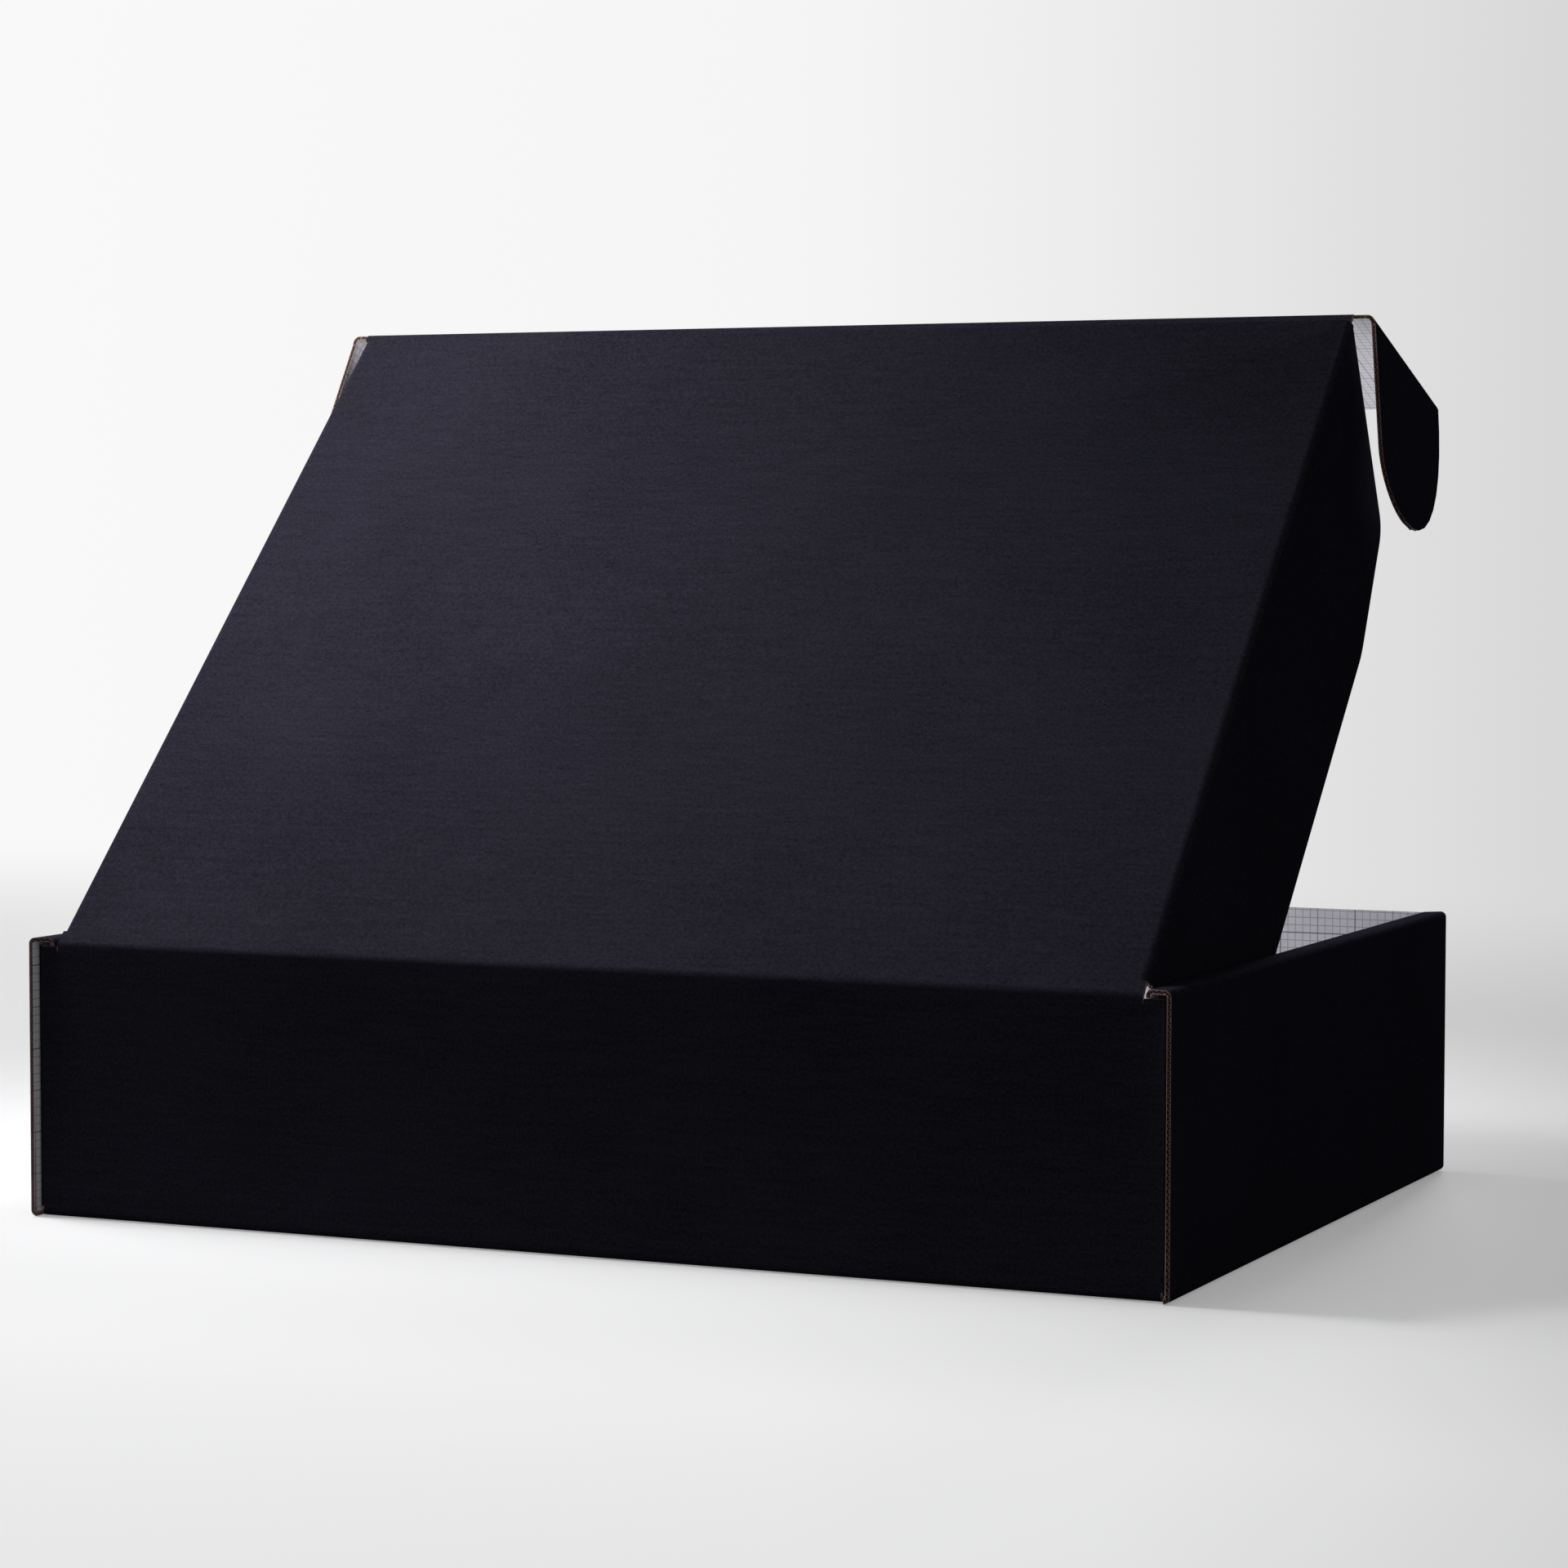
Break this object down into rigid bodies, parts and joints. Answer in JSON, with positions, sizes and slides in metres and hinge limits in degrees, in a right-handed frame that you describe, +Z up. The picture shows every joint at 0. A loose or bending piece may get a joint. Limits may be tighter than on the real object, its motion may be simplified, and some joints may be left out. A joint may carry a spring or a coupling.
{
  "type": "corrugated mailer box",
  "caption": "Roll-end tuck-front mailer box of fine-flute corrugated board, standing with its lid raised on its crease, dust flaps and eared tuck flap folded.",
  "frame": {"origin": "centre of the tray's underside, on the surface that it stands on", "axes": "+Z up, -Y towards the front wall, +Y towards the back wall that carries the lid, +X along the box's width"},
  "size_m": [0.446, 0.321, 0.3238],
  "materials": {
    "outer_print": "matte blue-black printed liner",
    "inner_print": "white liner printed with a plain grey square grid",
    "raw_edge": "cut edge of brown kraft board with open flutes"
  },
  "bodies": {
    "tray": {"tray": "outer_print"},
    "lid": {"lid": "outer_print"},
    "tuck_flap": {"tuck_flap": "outer_print"},
    "left_ear": {"left_ear": "outer_print"},
    "right_ear": {"right_ear": "outer_print"},
    "left_dust_flap": {"left_dust_flap": "outer_print"},
    "right_dust_flap": {"right_dust_flap": "outer_print"}
  },
  "joints": [
    {"name": "lid_hinge", "type": "hinge", "parent": "tray", "child": "lid", "pos_m": [0, 0.15725, 0.098], "axis": [-1, 0, 0], "range_deg": [-28, 130]},
    {"name": "tuck_hinge", "type": "hinge", "parent": "lid", "child": "tuck_flap", "pos_m": [0, -0.06573, 0.32332], "axis": [1, 0, 0], "range_deg": [-64.5, 25.5]},
    {"name": "left_ear_hinge", "type": "hinge", "parent": "tuck_flap", "child": "left_ear", "pos_m": [-0.2113, -0.10917, 0.3082], "axis": [0, -0.9444, -0.3289], "range_deg": [-80.9, 9.1]},
    {"name": "right_ear_hinge", "type": "hinge", "parent": "tuck_flap", "child": "right_ear", "pos_m": [0.2113, -0.10917, 0.3082], "axis": [0, 0.9444, 0.3289], "range_deg": [-80.9, 9.1]},
    {"name": "left_dust_hinge", "type": "hinge", "parent": "lid", "child": "left_dust_flap", "pos_m": [-0.2033, 0.04311, 0.21014], "axis": [0, -0.7034, 0.7108], "range_deg": [0, 85]},
    {"name": "right_dust_hinge", "type": "hinge", "parent": "lid", "child": "right_dust_flap", "pos_m": [0.2033, 0.04311, 0.21014], "axis": [0, 0.7034, -0.7108], "range_deg": [0, 85]}
  ]
}
